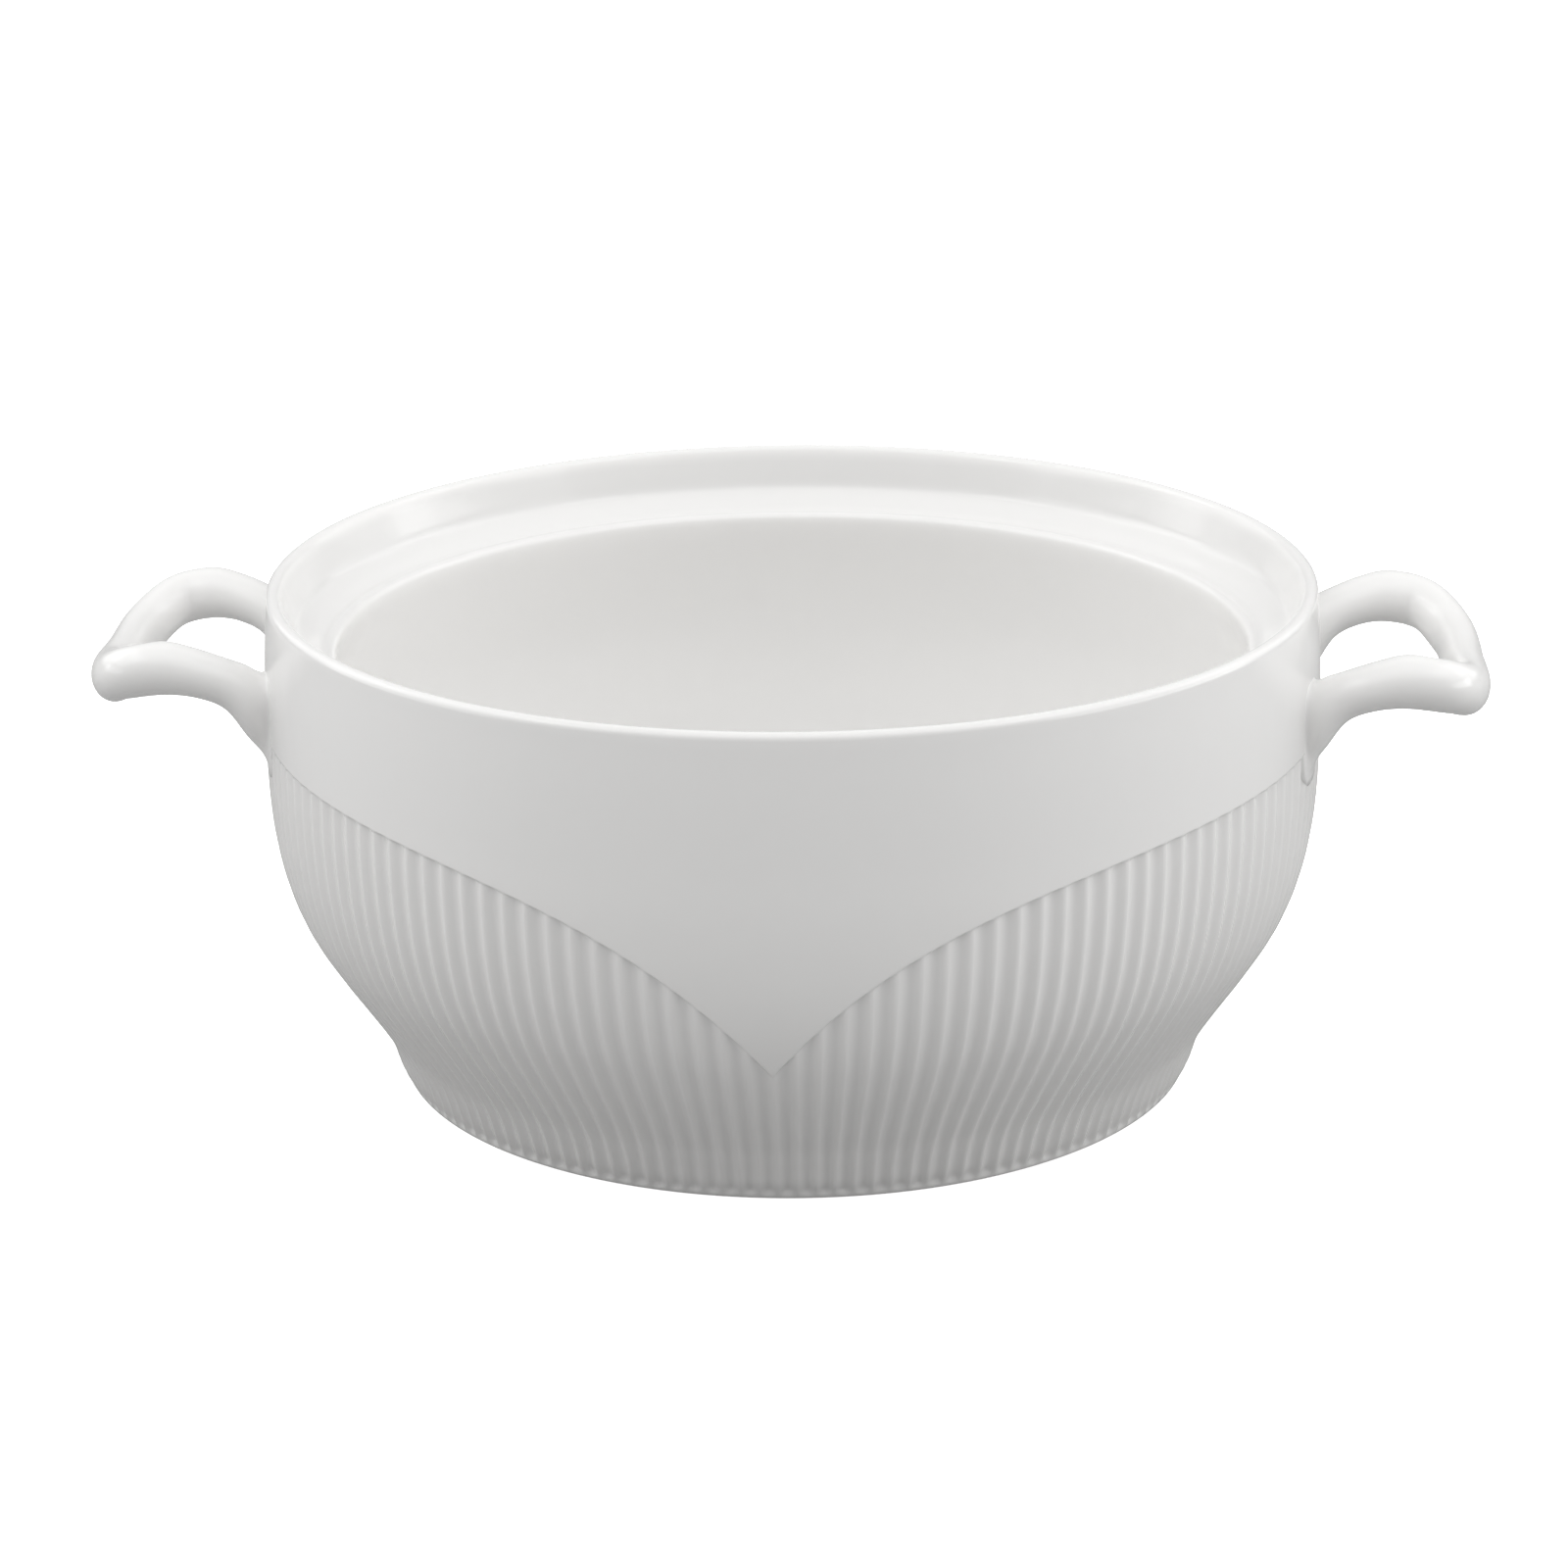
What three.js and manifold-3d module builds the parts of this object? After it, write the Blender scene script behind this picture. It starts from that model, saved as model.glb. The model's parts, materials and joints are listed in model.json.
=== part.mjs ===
// Round porcelain casserole dish with an inner seat for a lid and two loop handles.
// Millimetres, +Z up. The origin is on the table, at the middle of the foot ring.
// The handles lie along X, and the dish is the same in front (-Y) and behind (+Y).

import * as THREE from "three";
import { mergeVertices } from "three/addons/utils/BufferGeometryUtils.js";
import Module from "manifold-3d";

const wasm = await Module();
wasm.setup();

// ---- driving dimensions ----

const DISH_HEIGHT = 110.8;
const COLLAR_RADIUS = 116.2; // widest part of the wall, over the flutes
const RIM_RADIUS = 115; // outside of the rounded rim
const RIM_BEAD = 1.6; // radius of the rim's rounding

const FOOT_RADIUS = 88; // outside of the foot where it meets the table
const FOOT_WIDTH = 7; // flat face of the foot ring
const FOOT_EDGE = 1; // small rounding on both sides of that face
const FOOT_RECESS = 4.5; // height of the underside above the table
const RECESS_SLOPE = 5; // run of the slope from the foot ring up to the underside

const SEAT_HEIGHT = 97.2; // flat face that a lid rests on
const SEAT_INNER_RADIUS = 101.2;
const SEAT_OUTER_RADIUS = 102.9;
const MOUTH_RADIUS = 100.2; // narrowest opening, at the nose of the seat
const NOSE_TOP = 1.1; // the nose's upright face starts and ends this far below the seat
const NOSE_BOTTOM = 2.4;

const FLOOR_TOP = 10; // inside of the floor at the centre
const TURN_SEGMENTS = 72;

const RIM_SEGMENTS = 5; // steps round the rim's rounding
const RIM_START = 30; // angles, in degrees, between which the rim's rounding is drawn
const RIM_END = 180;

const HANDLE_GAP = 0.3; // glaze line between a handle's root and the wall
const HANDLE_RINGS = 44; // sections along one handle
const HANDLE_SIDES = 14; // sides of one section

// ---- dish ----

// Outside of the wall, from the foot's edge up to the rim: [radius, height].
const OUTER_WALL = [
  [FOOT_RADIUS + 1.3, FOOT_EDGE + 1],
  [90.8, 6],
  [92.1, 10],
  [94.8, 15],
  [98.1, 20],
  [101.7, 25],
  [105, 30],
  [108, 35],
  [110.5, 40],
  [112.5, 45],
  [114.8, 54],
  [COLLAR_RADIUS, 66],
  [COLLAR_RADIUS, 80],
  [115.7, 96],
  [RIM_RADIUS, DISH_HEIGHT - 2 * RIM_BEAD],
];

// Inside of the rim and the slope that leads a lid down to its seat.
const GALLERY = [
  [110.4, 105.4],
  [109.4, 102.4],
  [108.3, 100.9],
];

// Inside of the wall, from under the seat down to the floor.
const INNER_WALL = [
  [101.2, 92.6],
  [103.4, 86.6],
  [105.8, 77.6],
  [106.8, 67],
  [105.4, 55],
  [101.8, 43],
  [95.4, 31],
  [86, 21],
  [74, 14.4],
  [58, 11.2],
  [36, FLOOR_TOP + 0.2],
  [0, FLOOR_TOP],
];

// The rim's rounding, from the outside over the top to the inside.
function rimArc() {
  const points = [];
  for (let i = 0; i <= RIM_SEGMENTS; i += 1) {
    const angle = THREE.MathUtils.degToRad(RIM_START + ((RIM_END - RIM_START) * i) / RIM_SEGMENTS);
    const radius = RIM_RADIUS - RIM_BEAD + RIM_BEAD * Math.cos(angle);
    points.push([radius, DISH_HEIGHT - RIM_BEAD + RIM_BEAD * Math.sin(angle)]);
  }
  return points;
}

// The whole section of the dish, from the middle of the underside round to the middle of the floor.
function dishProfile() {
  const footInner = FOOT_RADIUS - FOOT_WIDTH;
  const underside = [
    [0, FOOT_RECESS],
    [footInner - RECESS_SLOPE, FOOT_RECESS],
    [footInner - FOOT_EDGE, FOOT_EDGE],
    [footInner, 0],
    [FOOT_RADIUS, 0],
  ];
  const seat = [
    [SEAT_OUTER_RADIUS, SEAT_HEIGHT],
    [SEAT_INNER_RADIUS, SEAT_HEIGHT],
    [MOUTH_RADIUS, SEAT_HEIGHT - NOSE_TOP],
    [MOUTH_RADIUS, SEAT_HEIGHT - NOSE_BOTTOM],
  ];
  const section = [underside, OUTER_WALL, rimArc(), GALLERY, seat, INNER_WALL].flat();
  return section.map(([radius, height]) => new THREE.Vector2(radius, height));
}

// A lathe about Z. The lathe class turns about Y, so the result is tipped upright.
function turned(profile) {
  const geometry = new THREE.LatheGeometry(profile, TURN_SEGMENTS);
  geometry.rotateX(Math.PI / 2);
  return geometry;
}

// ---- solids for cutting ----

// A closed geometry as a manifold solid, with shared corners merged and collapsed triangles left out.
function toSolid(geometry) {
  const bare = geometry.clone();
  bare.deleteAttribute("normal");
  bare.deleteAttribute("uv");
  const merged = mergeVertices(bare, 1e-4);
  const corners = merged.index.array;
  const kept = [];
  for (let i = 0; i < corners.length; i += 3) {
    const [a, b, c] = [corners[i], corners[i + 1], corners[i + 2]];
    if (a !== b && b !== c && c !== a) {
      kept.push(a, b, c);
    }
  }
  return new wasm.Manifold(
    new wasm.Mesh({
      numProp: 3,
      vertProperties: new Float32Array(merged.attributes.position.array),
      triVerts: new Uint32Array(kept),
    }),
  );
}

function fromSolid(solid) {
  const mesh = solid.getMesh();
  const geometry = new THREE.BufferGeometry();
  geometry.setAttribute("position", new THREE.BufferAttribute(mesh.vertProperties, 3));
  geometry.setIndex(new THREE.BufferAttribute(mesh.triVerts, 1));
  geometry.computeVertexNormals();
  return geometry;
}

// ---- handles ----

// One half of the right-hand loop, from its root inside the wall to the middle of the grip:
// place of the section's centre, then the section's half height and half width.
const HANDLE_HALF = [
  { at: [109, 25.5, 84], high: 12.5, wide: 8 },
  { at: [116.6, 28.6, 89.4], high: 8, wide: 6.6 },
  { at: [121, 29.6, 93.4], high: 5.7, wide: 5.9 },
  { at: [126.5, 30.6, 95.8], high: 5.4, wide: 5.9 },
  { at: [133, 31, 97], high: 5.8, wide: 6 },
  { at: [141.2, 29.6, 95.6], high: 5.9, wide: 5.6 },
  { at: [146.9, 19.5, 92], high: 6.1, wide: 4.9 },
  { at: [147.9, 0, 90.6], high: 6.1, wide: 4.7 },
];

// A number that is smooth along the loop, from the values at its stations.
function blend(values, t) {
  const place = t * (values.length - 1);
  const i = Math.min(Math.floor(place), values.length - 2);
  const s = place - i;
  const ease = s * s * (3 - 2 * s);
  return values[i] + (values[i + 1] - values[i]) * ease;
}

// A closed tube of upright elliptical sections along a curve, with flat ends.
function loft(curve, highs, wides) {
  const positions = [];
  const triangles = [];
  const up = new THREE.Vector3(0, 0, 1);
  for (let i = 0; i <= HANDLE_RINGS; i += 1) {
    const t = i / HANDLE_RINGS;
    const centre = curve.getPoint(t);
    const along = curve.getTangent(t);
    const across = new THREE.Vector3().crossVectors(along, up).normalize();
    for (let k = 0; k < HANDLE_SIDES; k += 1) {
      const angle = (2 * Math.PI * k) / HANDLE_SIDES;
      const corner = centre
        .clone()
        .addScaledVector(across, blend(wides, t) * Math.cos(angle))
        .addScaledVector(up, blend(highs, t) * Math.sin(angle));
      positions.push(corner.x, corner.y, corner.z);
    }
  }
  for (let i = 0; i < HANDLE_RINGS; i += 1) {
    for (let k = 0; k < HANDLE_SIDES; k += 1) {
      const next = (k + 1) % HANDLE_SIDES;
      const a = i * HANDLE_SIDES + k;
      const b = i * HANDLE_SIDES + next;
      const c = a + HANDLE_SIDES;
      const d = b + HANDLE_SIDES;
      triangles.push(a, d, b, a, c, d);
    }
  }
  const last = HANDLE_RINGS * HANDLE_SIDES;
  for (let k = 1; k < HANDLE_SIDES - 1; k += 1) {
    triangles.push(0, k, k + 1, last, last + k + 1, last + k);
  }
  const geometry = new THREE.BufferGeometry();
  geometry.setAttribute("position", new THREE.Float32BufferAttribute(positions, 3));
  geometry.setIndex(triangles);
  return geometry;
}

// The loop for one side: +1 is the right-hand handle, -1 the left-hand one.
function handleLoop(side) {
  const front = HANDLE_HALF.map(({ at, high, wide }) => ({ at: [at[0], -at[1], at[2]], high, wide }));
  const stations = [...front, ...HANDLE_HALF.slice(0, -1).reverse()];
  const points = stations.map(({ at }) => new THREE.Vector3(side * at[0], side * at[1], at[2]));
  const curve = new THREE.CatmullRomCurve3(points);
  const highs = stations.map(({ high }) => high);
  const wides = stations.map(({ wide }) => wide);
  return loft(curve, highs, wides);
}

// The wall's outside, as a solid that is larger all round by the glaze gap.
function wallWithGap() {
  const outline = [
    [0, -HANDLE_GAP],
    [FOOT_RADIUS + HANDLE_GAP, -HANDLE_GAP],
    ...OUTER_WALL.map(([radius, height]) => [radius + HANDLE_GAP, height]),
    [RIM_RADIUS + HANDLE_GAP, DISH_HEIGHT],
    [0, DISH_HEIGHT],
  ];
  return toSolid(turned(outline.map(([radius, height]) => new THREE.Vector2(radius, height))));
}

// ---- assembly ----

const porcelain = new THREE.MeshStandardMaterial({ color: 0xf0efec, roughness: 0.16, metalness: 0 });
const handlePorcelain = new THREE.MeshStandardMaterial({ color: 0xf1f0ed, roughness: 0.16, metalness: 0 });

const casserole = new THREE.Group();

const bowlBody = new THREE.Mesh(turned(dishProfile()), porcelain);
bowlBody.name = "bowl_body";
casserole.add(bowlBody);

const cutter = wallWithGap();
for (const [name, side] of [
  ["left_handle", -1],
  ["right_handle", 1],
]) {
  const trimmed = toSolid(handleLoop(side)).subtract(cutter);
  const handle = new THREE.Mesh(fromSolid(trimmed), handlePorcelain);
  handle.name = name;
  casserole.add(handle);
}

export default casserole;
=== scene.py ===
"""A round white porcelain casserole dish: fluted wall, smooth collar, lid seat and two loop handles."""

import json
import math

import bpy
import numpy as np
from mathutils import Matrix, Vector


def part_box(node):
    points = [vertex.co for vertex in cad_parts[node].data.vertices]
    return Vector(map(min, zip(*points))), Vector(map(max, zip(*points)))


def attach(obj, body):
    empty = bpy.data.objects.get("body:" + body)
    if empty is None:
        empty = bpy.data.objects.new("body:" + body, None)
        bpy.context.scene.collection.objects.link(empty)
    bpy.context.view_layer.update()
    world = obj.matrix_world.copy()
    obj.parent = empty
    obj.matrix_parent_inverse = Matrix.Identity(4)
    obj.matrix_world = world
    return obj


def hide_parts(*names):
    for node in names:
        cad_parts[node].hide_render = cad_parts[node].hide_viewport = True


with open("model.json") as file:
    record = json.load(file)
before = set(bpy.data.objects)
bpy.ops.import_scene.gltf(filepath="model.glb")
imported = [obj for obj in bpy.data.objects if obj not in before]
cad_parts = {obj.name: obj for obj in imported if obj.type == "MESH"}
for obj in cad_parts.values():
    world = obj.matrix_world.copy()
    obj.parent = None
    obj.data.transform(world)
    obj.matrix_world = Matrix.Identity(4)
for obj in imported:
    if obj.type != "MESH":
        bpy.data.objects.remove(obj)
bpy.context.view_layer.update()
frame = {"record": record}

MM = 0.001
UP = np.array([0.0, 0.0, 1.0])

# ---- sizes, in millimetres ----

# The dish's height and radius and the lid seat's height come from the frame.
DISH_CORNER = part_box("bowl_body")[1]
DISH_HEIGHT = DISH_CORNER[2] / MM
COLLAR_RADIUS = DISH_CORNER[0] / MM
SEAT_HEIGHT = next(m for m in frame["record"]["mounts"] if m["name"] == "lid_seat")["pos_m"][2] / MM

RIM_BEAD = 1.6  # radius of the rim's rounding
RIM_TAPER = 1.2  # the collar draws in this much on its way up to the rim
RIM_CENTRE = COLLAR_RADIUS - RIM_TAPER - RIM_BEAD
FOOT_RADIUS = 88.0
FOOT_INNER = 81.0
FOOT_RECESS = 4.5  # height of the underside above the table
BARE_BELOW = 0.3  # the foot ring has no glaze below this height

# Flutes: concave grooves with narrow rounded crests between them.
FLUTES = 142
FLUTE_DEPTH = 0.95
FLUTE_START = 0.8  # the flutes begin at this height and are full after the run below
FLUTE_START_RUN = 1.8
GROOVE_FULLNESS = 0.7  # under 1 makes the grooves wider than the crests
COLLAR_STEP = 0.07  # the collar stands this much proud of the crests
EDGE_WIDTH = 0.5  # width of the slope from the collar's edge down into a groove

# The collar's lower edge falls from its top height to its lowest at the front and back points.
EDGE_TOP = 81.6
EDGE_DROP = 45.6
EDGE_DECAY = math.radians(16.5)

# Outside of the wall as [radius, height], over the crests.
OUTER_WALL = [
    (FOOT_RADIUS + 0.7, 1.0),
    (90.2, 4.0),
    (91.4, 8.0),
    (93.1, 12.0),
    (95.9, 16.6),
    (99.5, 22.0),
    (104.9, 30.0),
    (109.6, 38.0),
    (112.9, 46.5),
    (115.1, 56.5),
    (COLLAR_RADIUS, 69.0),
    (COLLAR_RADIUS, 82.0),
    (115.8, 96.0),
    (RIM_CENTRE + RIM_BEAD, DISH_HEIGHT - RIM_BEAD),
]

# Inside of the dish, from the rim's inner side over the seat and down to the floor.
INNER_WALL = [
    (111.4, 108.4),
    (110.4, 105.4),
    (109.4, 102.4),
    (108.8, 101.3),
    (107.9, 100.5),
    (105.4, 98.9),
    (102.9, SEAT_HEIGHT),
    (101.3, SEAT_HEIGHT - 0.2),
    (100.4, SEAT_HEIGHT - 0.9),
    (100.2, SEAT_HEIGHT - 2.0),
    (100.8, 92.6),
    (102.9, 86.6),
    (105.4, 77.6),
    (106.8, 67.0),
    (105.4, 55.0),
    (101.8, 43.0),
    (95.4, 31.0),
    (86.0, 21.0),
    (74.0, 14.4),
    (58.0, 11.2),
    (36.0, 10.2),
    (14.0, 10.0),
]

# Underside, from the foot's outer edge to the middle.
UNDERSIDE = [
    (FOOT_RADIUS + 0.35, 0.4),
    (FOOT_RADIUS - 0.3, 0.08),
    (FOOT_RADIUS - 1.0, 0.0),
    (FOOT_INNER + 1.0, 0.0),
    (FOOT_INNER + 0.3, 0.08),
    (FOOT_INNER - 0.4, 0.6),
    (FOOT_INNER - 1.6, 2.4),
    (FOOT_INNER - 3.2, 3.9),
    (FOOT_INNER - 5.4, FOOT_RECESS),
    (60.0, FOOT_RECESS),
    (30.0, FOOT_RECESS),
]

# Where the glaze is painted greyer: painted shade between two heights inside the rim and towards the
# foot, and in the grooves pooled glaze with painted shade.
GALLERY_LOW = 100.6
GALLERY_HIGH = 109.4
GALLERY_FADE = 1.5
FOOT_SHADE_TOP = 14.0  # no painted shade from the foot above this height
FOOT_FADE = 8.0
GROOVE_POOL_AND_SHADE = 0.55  # share of the full tone in the middle of a groove, pooled glaze and painted shade together

# The fineness of the dish's mesh.
FLUTE_COLUMNS = 8  # columns within one flute
COARSE_STEP = 4  # every fourth column carries on where the surface has no flutes
ROWS_UNDER_EDGE = 44  # rows from the foot up to the collar's edge, and from there to the rim
ROWS_OVER_EDGE = 26
RIM_STEPS = 12
WALL_STEPS = 12  # steps of each curve from one of its points to the next
UNDERSIDE_STEPS = 2
INNER_STEPS = 3


# ---- curves ----


def smoothstep(value):
    t = np.clip(value, 0.0, 1.0)
    return t * t * (3.0 - 2.0 * t)


def spline(points, steps):
    """A smooth curve through the points, with this many steps between each two."""
    pts = np.array(points, float)
    pts = np.vstack([2 * pts[0] - pts[1], pts, 2 * pts[-1] - pts[-2]])
    out = []
    for i in range(1, len(pts) - 2):
        before, a, b, after = pts[i - 1 : i + 3]
        gap_0 = np.linalg.norm(a - before) ** 0.5
        gap_1 = np.linalg.norm(b - a) ** 0.5
        gap_2 = np.linalg.norm(after - b) ** 0.5
        slope_a = (a - before) / gap_0 - (b - before) / (gap_0 + gap_1) + (b - a) / gap_1
        slope_b = (b - a) / gap_1 - (after - a) / (gap_1 + gap_2) + (after - b) / gap_2
        for k in range(steps):
            t = k / steps
            out.append(hermite(a, slope_a * gap_1, b, slope_b * gap_1, t))
    out.append(pts[-2])
    return np.array(out)


def hermite(start, leaving, end, arriving, t):
    """A point on the cubic from start to end, with the given tangents."""
    return (
        (2 * t**3 - 3 * t**2 + 1) * start
        + (t**3 - 2 * t**2 + t) * leaving
        + (3 * t**2 - 2 * t**3) * end
        + (t**3 - t**2) * arriving
    )


WALL_CURVE = spline(OUTER_WALL, WALL_STEPS)


def wall_radius(height):
    """Radius of the wall's outside, over the crests, at a height."""
    return np.interp(height, WALL_CURVE[:, 1], WALL_CURVE[:, 0])


# ---- the dish ----


def collar_edge(angle):
    """Height of the collar's lower edge at an angle from the front, and its slope along the wall."""
    turn = np.abs((angle + math.pi / 2) % math.pi - math.pi / 2)
    fall = EDGE_DROP * np.exp(-turn / EDGE_DECAY)
    height = EDGE_TOP - fall
    slope = fall / EDGE_DECAY / wall_radius(height)
    return height, slope


def flute_section(angle):
    """Depth of the grooves at an angle, from 0 on a crest to 1 in the middle of a groove."""
    return (0.5 - 0.5 * np.cos(angle * FLUTES)) ** GROOVE_FULLNESS


def wall_rows(angles):
    """Rows up the outside of the wall, as radius, height and groove. One row is on the collar's edge."""
    edge, slope = collar_edge(angles)
    near_foot = [1.0, 1.4, 1.9, 2.5, 3.2]
    below_edge = [2.6, 2.0, 1.6, 1.3, 1.05, 0.8, 0.6, 0.4, 0.2, 0.0]
    above_edge = [0.25, 0.5, 0.8, 1.2, 1.8, 2.6]
    heights = [np.full_like(edge, height) for height in near_foot]
    low = near_foot[-1]
    span = edge - below_edge[0] - low
    heights += [low + span * k / ROWS_UNDER_EDGE for k in range(1, ROWS_UNDER_EDGE)]
    heights += [edge - distance for distance in below_edge]
    heights += [edge + distance for distance in above_edge]
    low = edge + above_edge[-1]
    span = OUTER_WALL[-1][1] - low
    heights += [low + span * k / ROWS_OVER_EDGE for k in range(1, ROWS_OVER_EDGE + 1)]
    section = flute_section(angles)
    rows = []
    for height in heights:
        inside = (edge - height) / np.sqrt(1.0 + slope**2)
        fluted = smoothstep(inside / EDGE_WIDTH)
        foot_fade = smoothstep((height - FLUTE_START) / FLUTE_START_RUN)
        groove = section * fluted * foot_fade
        step = COLLAR_STEP * smoothstep(inside / EDGE_WIDTH + 0.5)  # centred on the edge
        radius = wall_radius(height) - step - FLUTE_DEPTH * groove
        rows.append((radius, height, groove))
    return rows


class Surface:
    """Collects rings of points about the Z axis, the pooled glaze and painted shade on them, and the
    faces between.
    """

    def __init__(self):
        self.points = []
        self.thickness = []
        self.faces = []
        self.rings = []

    def ring(self, angles, radius, height, thickness=0.0):
        count = len(angles)
        first = len(self.points)
        radii = np.broadcast_to(radius, count) * MM
        levels = np.broadcast_to(height, count) * MM
        for angle, r, z in zip(angles, radii, levels):
            self.points.append((r * math.sin(angle), -r * math.cos(angle), z))
        self.thickness.extend(np.broadcast_to(thickness, count))
        if self.rings:
            self._join(self.rings[-1], (first, count))
        self.rings.append((first, count))

    def _join(self, low, high):
        """Faces between two rings. Where one is coarse, five triangles meet each of its edges."""
        if low[1] == high[1]:
            for k in range(low[1]):
                n = (k + 1) % low[1]
                self.faces.append((low[0] + k, low[0] + n, high[0] + n, high[0] + k))
            return
        fine, coarse, flip = (low, high, False) if low[1] > high[1] else (high, low, True)
        for k in range(coarse[1]):
            c0 = coarse[0] + k
            c1 = coarse[0] + (k + 1) % coarse[1]
            f = [fine[0] + (k * COARSE_STEP + j) % fine[1] for j in range(COARSE_STEP + 1)]
            fan = [(c0, f[0], f[1]), (c0, f[1], f[2]), (c0, f[2], c1), (c1, f[2], f[3]), (c1, f[3], f[4])]
            self.faces.extend(tuple(reversed(face)) if flip else face for face in fan)

    def cap(self, height, at_start):
        """Closes the first or the last ring with a fan to a point on the axis."""
        first, count = self.rings[0] if at_start else self.rings[-1]
        centre = len(self.points)
        self.points.append((0.0, 0.0, height * MM))
        self.thickness.append(0.0)
        for k in range(count):
            face = (first + (k + 1) % count, first + k, centre)
            self.faces.append(face if at_start else tuple(reversed(face)))


def make_mesh(name, points, faces):
    mesh = bpy.data.meshes.new(name)
    mesh.from_pydata([tuple(p) for p in points], [], faces)
    mesh.polygons.foreach_set("use_smooth", [True] * len(mesh.polygons))
    mesh.update()
    piece = bpy.data.objects.new(name, mesh)
    bpy.context.scene.collection.objects.link(piece)
    return piece


def make_dish():
    fine = np.linspace(0.0, 2 * math.pi, FLUTES * FLUTE_COLUMNS, endpoint=False)
    coarse = fine[::COARSE_STEP]
    surface = Surface()
    for radius, height in spline(UNDERSIDE, UNDERSIDE_STEPS)[::-1]:
        surface.ring(coarse, radius, max(height, 0.0))  # the curve mustn't dip into the table
    for radius, height, groove in wall_rows(fine):
        # Painted shade deepens towards the foot; in the grooves the tone is pooled glaze with painted
        # shade.
        foot_shade = smoothstep((FOOT_SHADE_TOP - height) / FOOT_FADE)
        surface.ring(fine, radius, height, np.maximum(GROOVE_POOL_AND_SHADE * groove, foot_shade))
    for k in range(1, RIM_STEPS):
        angle = math.pi * k / RIM_STEPS
        radius = RIM_CENTRE + RIM_BEAD * math.cos(angle)
        surface.ring(coarse, radius, DISH_HEIGHT - RIM_BEAD + RIM_BEAD * math.sin(angle))
    for radius, height in spline(INNER_WALL, INNER_STEPS):
        # Painted shade on the inside wall between the seat and the rim.
        over_seat = smoothstep((height - GALLERY_LOW) / GALLERY_FADE)
        under_rim = smoothstep((GALLERY_HIGH - height) / GALLERY_FADE)
        surface.ring(coarse, radius, height, over_seat * under_rim)
    surface.cap(FOOT_RECESS, at_start=True)
    surface.cap(INNER_WALL[-1][1], at_start=False)
    dish = make_mesh("porcelain_bowl", surface.points, surface.faces)
    thickness = dish.data.attributes.new("glaze_pool_and_shade", "FLOAT", "POINT")
    thickness.data.foreach_set("value", np.array(surface.thickness, np.float32))
    return dish


# ---- handles ----

# One half of the right-hand loop, from just outside the wall to the middle of the grip:
# [x, y, z, half height, half width], in millimetres.
HANDLE_HALF = [
    (116.6, 28.6, 89.3, 8.0, 6.8),
    (121.0, 29.6, 93.4, 5.7, 5.9),
    (126.5, 30.6, 95.8, 5.4, 5.9),
    (133.0, 31.0, 97.0, 5.8, 6.0),
    (141.2, 29.6, 95.6, 5.9, 5.6),
    (146.9, 19.5, 92.0, 6.1, 4.9),
    (147.9, 0.0, 90.6, 6.1, 4.7),
]
HANDLE_TURN = math.radians(-0.6)  # the handles are set slightly off square to the collar's points
HANDLE_LEAN = 0.016  # and lean a little: each grip's rise over its run
LEFT_SHIFT = 0.6  # one handle is set a little further out than the other
RIGHT_SHIFT = -0.6
ROOT_AT = (27.0, 85.5)  # middle of a root on the wall: distance from the X axis, and height
ROOT_SIDE = 8.5  # reach of a root from its middle: along the wall, up it and down it
ROOT_UP = 10.5
ROOT_DOWN = 13.2
ROOT_FLARE = 1.5  # how far a root's edge runs along the wall before it leaves it
ROOT_BLUNTNESS = 0.65  # under 1 makes a root's outline squarer
ROOT_SET_IN = 0.12  # a root's edge lies this far under the crests
ROOT_SINK = 1.4  # and the root carries on this far into the wall
ROOT_RINGS = 9
HANDLE_SIDES = 40
HANDLE_STEPS = 9  # sections from one station to the next
BEND_REACH = 6  # sections on each side over which a bend is spread


def wall_point(along, height, sink):
    """A point on the right-hand wall, by its distance from the X axis measured round the wall."""
    radius = wall_radius(height) - sink
    angle = along / wall_radius(height)
    return np.array([radius * math.cos(angle), radius * math.sin(angle), height])


def blunt(value):
    """Fills out the corners of a circle's sine or cosine."""
    return math.copysign(abs(value) ** ROOT_BLUNTNESS, value)


def root_rings(ring, previous, side):
    """Rings that flare from the end of an arm on to the wall and a little way into it."""
    centre_y, centre_z = ROOT_AT
    middle = wall_point(side * centre_y, centre_z, 0.0)
    feet = []
    for point in ring:
        offset = point - ring.mean(axis=0)
        turn = math.atan2(offset[2], offset[1])
        reach = ROOT_UP if math.sin(turn) > 0 else ROOT_DOWN
        around = side * centre_y + ROOT_SIDE * blunt(math.cos(turn))
        feet.append((around, centre_z + reach * blunt(math.sin(turn))))
    rings = []
    for k in range(1, ROOT_RINGS + 1):
        row = []
        for point, before, (around, height) in zip(ring, previous, feet):
            foot = wall_point(around, height, ROOT_SET_IN)
            span = np.linalg.norm(foot - point)
            leaving = (point - before) / np.linalg.norm(point - before) * span
            arriving = (foot - middle) / np.linalg.norm(foot - middle) * span * ROOT_FLARE
            row.append(hermite(point, leaving, foot, arriving, k / ROOT_RINGS))
        rings.append(np.array(row))
    rings.append(np.array([wall_point(around, height, ROOT_SINK) for around, height in feet]))
    return rings


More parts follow.
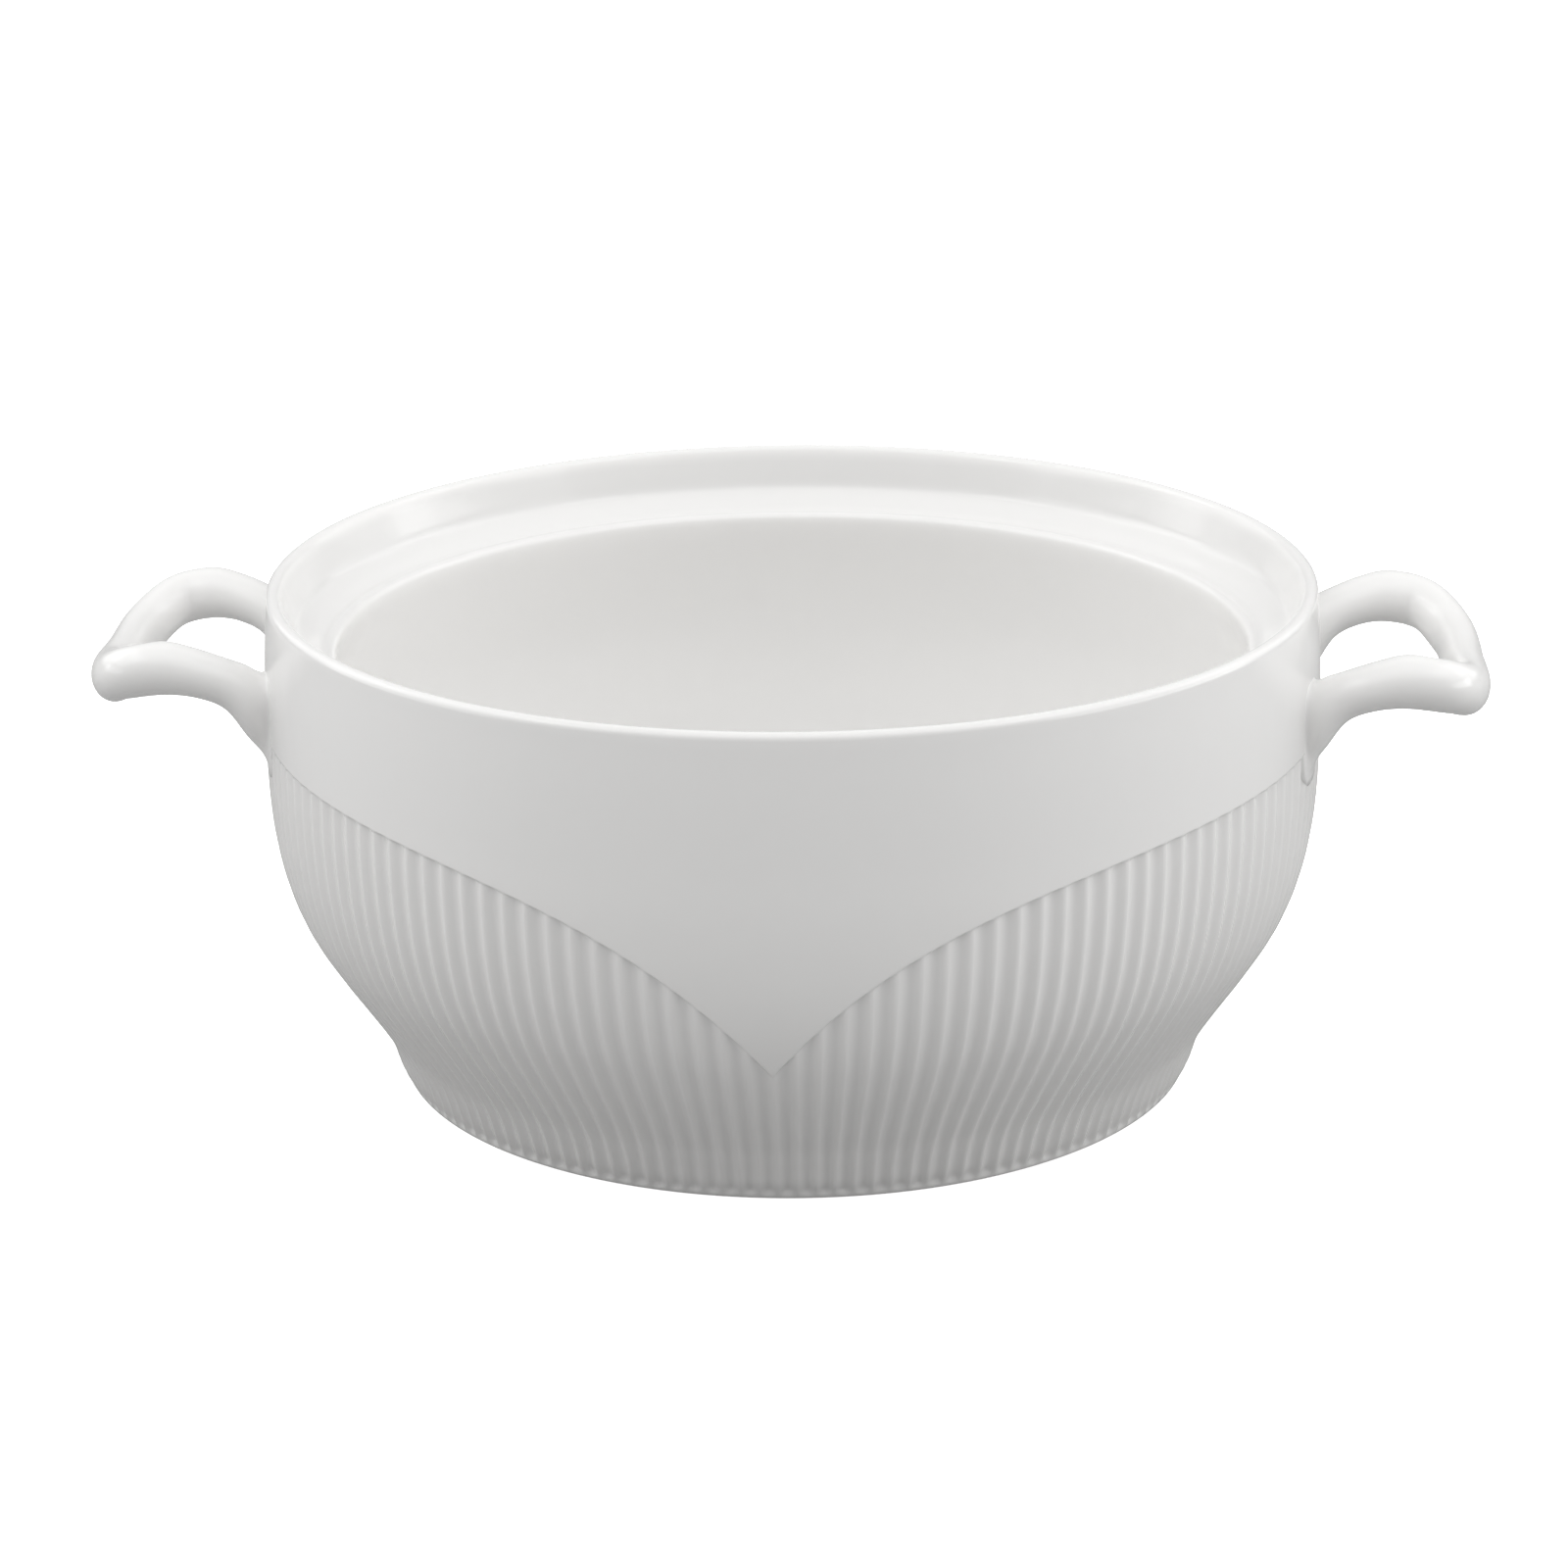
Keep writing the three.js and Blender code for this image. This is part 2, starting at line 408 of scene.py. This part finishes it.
def make_handle(name, heading, shift):
    """A loop handle along a heading in radians from the X axis, moved out by a shift in millimetres."""
    half = np.array(HANDLE_HALF) + (shift, 0, 0, 0, 0)
    mirrored = half * (1, -1, 1, 1, 1)
    stations = spline(np.vstack([mirrored, half[-2::-1]]), HANDLE_STEPS)
    stations[:, 2] += stations[:, 1] * HANDLE_LEAN
    last = len(stations) - 1
    places = np.arange(len(stations))
    ahead = stations[np.minimum(places + BEND_REACH, last), :3]
    behind = stations[np.maximum(places - BEND_REACH, 0), :3]
    across = np.cross(ahead - behind, UP)
    across /= np.linalg.norm(across, axis=1)[:, None]
    turns = np.linspace(0.0, 2 * math.pi, HANDLE_SIDES, endpoint=False)
    loop = [
        s[:3] + s[4] * np.outer(np.cos(turns), a) + s[3] * np.outer(np.sin(turns), UP)
        for s, a in zip(stations, across)
    ]
    front = root_rings(loop[0], loop[1], -1)
    back = root_rings(loop[-1], loop[-2], 1)
    rings = front[::-1] + loop + back
    turned = np.vstack(rings) @ np.array(Matrix.Rotation(heading, 3, "Z")).T
    faces = []
    for i in range(len(rings) - 1):
        for k in range(HANDLE_SIDES):
            n = (k + 1) % HANDLE_SIDES
            a, b = i * HANDLE_SIDES, (i + 1) * HANDLE_SIDES
            faces.append((a + k, b + k, b + n, a + n))
    faces.append(tuple(range(HANDLE_SIDES)))
    faces.append(tuple(range(len(turned) - 1, len(turned) - HANDLE_SIDES - 1, -1)))
    return make_mesh(name, turned * MM, faces)


# ---- materials ----

BOWL_GLAZE = (0.88, 0.875, 0.865)
# The handles' glaze is the bowl's glaze painted a little lighter, standing in for the brighter light on
# the handles.
HANDLE_GLAZE_PAINTED_LIGHTER = (0.9, 0.895, 0.885)
CLOUD_SHADE = 0.985  # the darkest clouds, as a share of the glaze's colour
POOLED_AND_SHADED_TONE = 0.897  # the full pooled glaze and painted shade, as a share of it
CLAY_DARK = (0.60, 0.57, 0.52, 1.0)
CLAY_PALE = (0.76, 0.73, 0.68, 1.0)


def node(tree, kind, **inputs):
    made = tree.nodes.new(kind)
    for key, value in inputs.items():
        made.inputs[key.replace("_", " ")].default_value = value
    return made


def new_material(name):
    material = bpy.data.materials.new(name)
    material.use_nodes = True
    tree = material.node_tree
    return material, tree, tree.nodes["Principled BSDF"]


def glaze(name, colour):
    """Glossy white glaze: faint clouds in its colour, greyer with pooled glaze and painted shade where
    the attribute marks them, and a soft ripple.
    """
    material, tree, shader = new_material(name)
    link = tree.links.new
    where = tree.nodes.new("ShaderNodeTexCoord")

    clouds = node(tree, "ShaderNodeTexNoise", Scale=28.0, Detail=3.0, Roughness=0.55)
    link(where.outputs["Object"], clouds.inputs["Vector"])
    tint = tree.nodes.new("ShaderNodeMix")
    tint.data_type = "RGBA"
    tint.inputs["A"].default_value = (*colour, 1.0)
    tint.inputs["B"].default_value = (*[c * CLOUD_SHADE for c in colour], 1.0)
    link(clouds.outputs["Fac"], tint.inputs["Factor"])

    # Painted shade and pooled glaze, read from the dish's attribute, grey the colour.
    thickness = tree.nodes.new("ShaderNodeAttribute")
    thickness.attribute_name = "glaze_pool_and_shade"
    pool_and_shade_mix = tree.nodes.new("ShaderNodeMix")
    pool_and_shade_mix.data_type = "RGBA"
    pool_and_shade_mix.inputs["B"].default_value = (*[c * POOLED_AND_SHADED_TONE for c in colour], 1.0)
    link(thickness.outputs["Fac"], pool_and_shade_mix.inputs["Factor"])
    link(tint.outputs["Result"], pool_and_shade_mix.inputs["A"])
    link(pool_and_shade_mix.outputs["Result"], shader.inputs["Base Color"])

    polish = node(tree, "ShaderNodeMapRange", To_Min=0.13, To_Max=0.2)
    link(clouds.outputs["Fac"], polish.inputs["Value"])
    link(polish.outputs["Result"], shader.inputs["Roughness"])

    ripple = node(tree, "ShaderNodeTexNoise", Scale=95.0, Detail=2.0, Roughness=0.4)
    link(where.outputs["Object"], ripple.inputs["Vector"])
    bump = node(tree, "ShaderNodeBump", Strength=0.12, Distance=0.0006)
    link(ripple.outputs["Fac"], bump.inputs["Height"])
    link(bump.outputs["Normal"], shader.inputs["Normal"])

    shader.inputs["IOR"].default_value = 1.5
    shader.inputs["Coat Weight"].default_value = 0.15
    shader.inputs["Coat Roughness"].default_value = 0.06
    return material


def biscuit(name):
    """Bare fired clay of the foot ring: matt, a little warmer, with a fine grain."""
    material, tree, shader = new_material(name)
    link = tree.links.new
    where = tree.nodes.new("ShaderNodeTexCoord")
    grain = node(tree, "ShaderNodeTexNoise", Scale=1400.0, Detail=4.0, Roughness=0.6)
    link(where.outputs["Object"], grain.inputs["Vector"])
    ramp = tree.nodes.new("ShaderNodeValToRGB")
    ramp.color_ramp.elements[0].color = CLAY_DARK
    ramp.color_ramp.elements[1].color = CLAY_PALE
    link(grain.outputs["Fac"], ramp.inputs["Fac"])
    link(ramp.outputs["Color"], shader.inputs["Base Color"])
    bump = node(tree, "ShaderNodeBump", Strength=0.25, Distance=0.0002)
    link(grain.outputs["Fac"], bump.inputs["Height"])
    link(bump.outputs["Normal"], shader.inputs["Normal"])
    shader.inputs["Roughness"].default_value = 0.8
    return material


def dress(dish, handles):
    """Gives the pieces their glaze, and leaves the foot ring's flat face bare."""
    dish.data.materials.append(glaze("white_glaze", BOWL_GLAZE))
    dish.data.materials.append(biscuit("bare_foot"))
    for face in dish.data.polygons:
        if face.center.z < BARE_BELOW * MM:
            face.material_index = 1
    # The handles get the lighter copy of the glaze, painted light.
    handle_glaze = glaze("handle_glaze", HANDLE_GLAZE_PAINTED_LIGHTER)
    for handle in handles:
        handle.data.materials.append(handle_glaze)


# ---- stage, in metres ----

SHEET_REACH = 7.0  # from the middle of the floor to its sides
BOUNCE_DROP = 0.0002  # the grey sheet lies this far under the white floor
FLOOR_WHITE = (0.9, 0.9, 0.9)
FLOOR_GREY = (0.38, 0.38, 0.38)
FLOOR_GLOW = 0.9
SURROUND_STRENGTH = 0.5


def make_sheet(name, height, colour):
    """A large flat sheet with a matt finish."""
    ends = (-SHEET_REACH, SHEET_REACH)
    corners = [(x, y, height) for y in ends for x in ends]
    sheet = make_mesh(name, corners, [(0, 1, 3, 2)])
    material, _, shader = new_material(name)
    shader.inputs["Base Color"].default_value = (*colour, 1.0)
    shader.inputs["Roughness"].default_value = 0.9
    shader.inputs["Specular IOR Level"].default_value = 0.1
    sheet.data.materials.append(material)
    return sheet, shader


def make_floor():
    """A white floor for the eye, over a greyer sheet that sends light back up to the dish."""
    white, shader = make_sheet("pale_floor", 0.0, FLOOR_WHITE)
    shader.inputs["Emission Color"].default_value = (1.0, 1.0, 1.0, 1.0)
    shader.inputs["Emission Strength"].default_value = FLOOR_GLOW
    white.visible_diffuse = False
    white.visible_glossy = False
    white.visible_shadow = False
    grey, _ = make_sheet("bounce_floor", -BOUNCE_DROP, FLOOR_GREY)
    grey.visible_camera = False


# Soft boxes, all turned to one place in the dish: name, place, width, height and watts.
LIT_PLACE = Vector((0.0, 0.0, 0.06))
SOFT_BOXES = [
    ("overhead", (0.0, 0.1, 1.7), 3.0, 3.0, 5.0),
    ("overhead_front", (0.0, -0.8, 1.6), 3.2, 1.6, 10.0),
    ("left_high", (-1.7, 0.0, 1.5), 2.4, 1.5, 13.5),
    ("right_high", (1.7, 0.0, 1.5), 2.4, 1.5, 10.5),
    ("left_behind", (-1.7, 1.0, 0.9), 1.8, 1.4, 6.0),
    ("right_behind", (1.7, 1.0, 0.9), 1.8, 1.4, 6.0),
    ("left_low", (-2.0, -0.2, 0.3), 2.0, 0.6, 4.0),
    ("right_low", (2.0, -0.2, 0.3), 2.0, 0.6, 8.0),
]


def make_lights():
    for name, place, width, height, power in SOFT_BOXES:
        lamp = bpy.data.lights.new(name, "AREA")
        lamp.shape = "RECTANGLE"
        lamp.size = width
        lamp.size_y = height
        lamp.energy = power
        holder = bpy.data.objects.new(name, lamp)
        holder.location = place
        holder.rotation_euler = (LIT_PLACE - Vector(place)).to_track_quat("-Z", "Y").to_euler()
        holder.visible_camera = False
        bpy.context.scene.collection.objects.link(holder)


def make_backdrop():
    """A pale surround, like the inside of a light tent."""
    world = bpy.data.worlds.new("white_surround")
    world.use_nodes = True
    background = world.node_tree.nodes["Background"]
    background.inputs["Color"].default_value = (1.0, 1.0, 1.0, 1.0)
    background.inputs["Strength"].default_value = SURROUND_STRENGTH
    bpy.context.scene.world = world
    bpy.context.scene.view_settings.view_transform = "Standard"


def make_camera():
    target = Vector((-0.0021, 0.0, 0.0619))
    distance = 1.0076
    azimuth = math.radians(2.62)
    elevation = math.radians(18.6)
    roll = math.radians(-0.53)
    level = distance * math.cos(elevation)
    place = target + Vector(
        (level * math.sin(azimuth), -level * math.cos(azimuth), distance * math.sin(elevation))
    )
    data = bpy.data.cameras.new("camera")
    data.sensor_width = 36.0
    data.lens = 103.7
    camera = bpy.data.objects.new("camera", data)
    facing = (target - place).to_track_quat("-Z", "Y").to_matrix().to_4x4()
    camera.matrix_world = Matrix.Translation(place) @ facing @ Matrix.Rotation(roll, 4, "Z")
    bpy.context.scene.collection.objects.link(camera)
    bpy.context.scene.camera = camera


# ---- assembly ----

dish = make_dish()
left_handle = make_handle("left_loop_handle", HANDLE_TURN + math.pi, LEFT_SHIFT)
right_handle = make_handle("right_loop_handle", HANDLE_TURN, RIGHT_SHIFT)
dress(dish, [left_handle, right_handle])

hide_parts("bowl_body")
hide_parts("left_handle")
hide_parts("right_handle")
for piece in (dish, left_handle, right_handle):
    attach(piece, "root")

make_floor()
make_lights()
make_backdrop()
make_camera()
